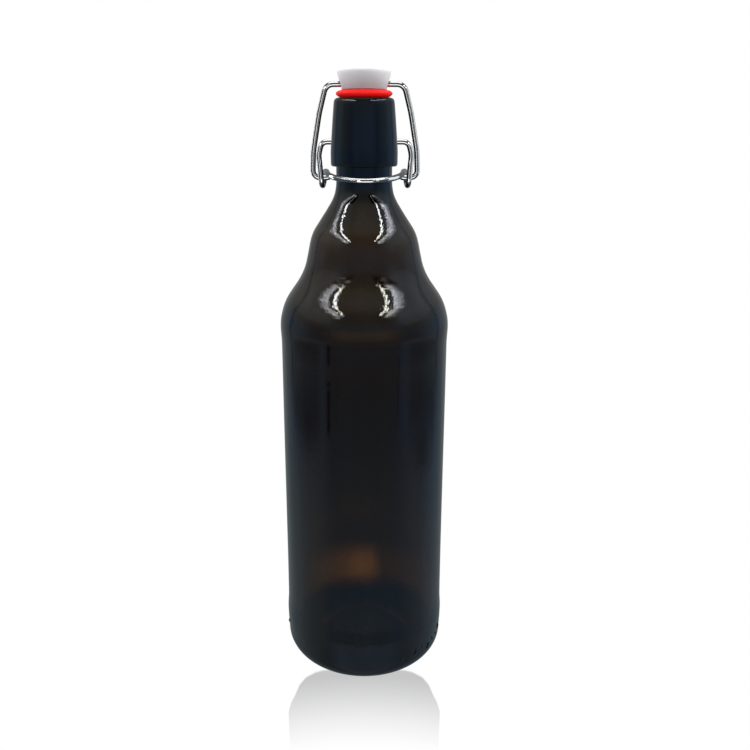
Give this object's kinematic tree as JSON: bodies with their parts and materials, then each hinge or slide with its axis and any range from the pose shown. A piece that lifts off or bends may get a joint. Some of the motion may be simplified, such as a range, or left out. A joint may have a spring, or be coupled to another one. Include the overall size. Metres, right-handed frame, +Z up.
{
  "type": "swing top bottle",
  "caption": "Tall stepped-shoulder amber glass bottle with a wire swing closure: white stopper on a red rubber ring, held down by a bail and an over-centre lever.",
  "frame": {"origin": "centre of the base, in the plane the bottle stands on", "axes": "+Z up along the bottle's axis, -Y towards the thumb loop of the lever (the front), X along the pivots of the closure"},
  "size_m": [0.0884, 0.0884, 0.3162],
  "materials": {
    "amber_glass": "clear, glossy, very dark amber",
    "steel_wire": "bright drawn stainless wire",
    "white_stopper": "satin white",
    "red_rubber": "satin red silicone"
  },
  "bodies": {
    "bottle": {"glass_bottle": "amber_glass"},
    "lever": {"lever_wire": "steel_wire"},
    "bail": {"bail_wire": "steel_wire"},
    "stopper": {"stopper_head": "white_stopper", "rubber_ring": "red_rubber"}
  },
  "joints": [
    {"name": "lever_swing", "type": "hinge", "parent": "bottle", "child": "lever", "pos_m": [0, 0, 0.282], "axis": [-1, 0, 0], "range_deg": [0, 250]},
    {"name": "bail_swing", "type": "hinge", "parent": "lever", "child": "bail", "pos_m": [0, 0.0013, 0.2649], "axis": [-1, 0, 0], "range_deg": [-150, 0]},
    {"name": "stopper_tilt", "type": "hinge", "parent": "bail", "child": "stopper", "pos_m": [0, 0, 0.3084], "axis": [-1, 0, 0], "range_deg": [-88, 0]}
  ],
  "couplings": [
    {"joint": "bail_swing", "follows": "lever_swing", "ratio": -0.59},
    {"joint": "stopper_tilt", "follows": "lever_swing", "ratio": -0.34}
  ]
}
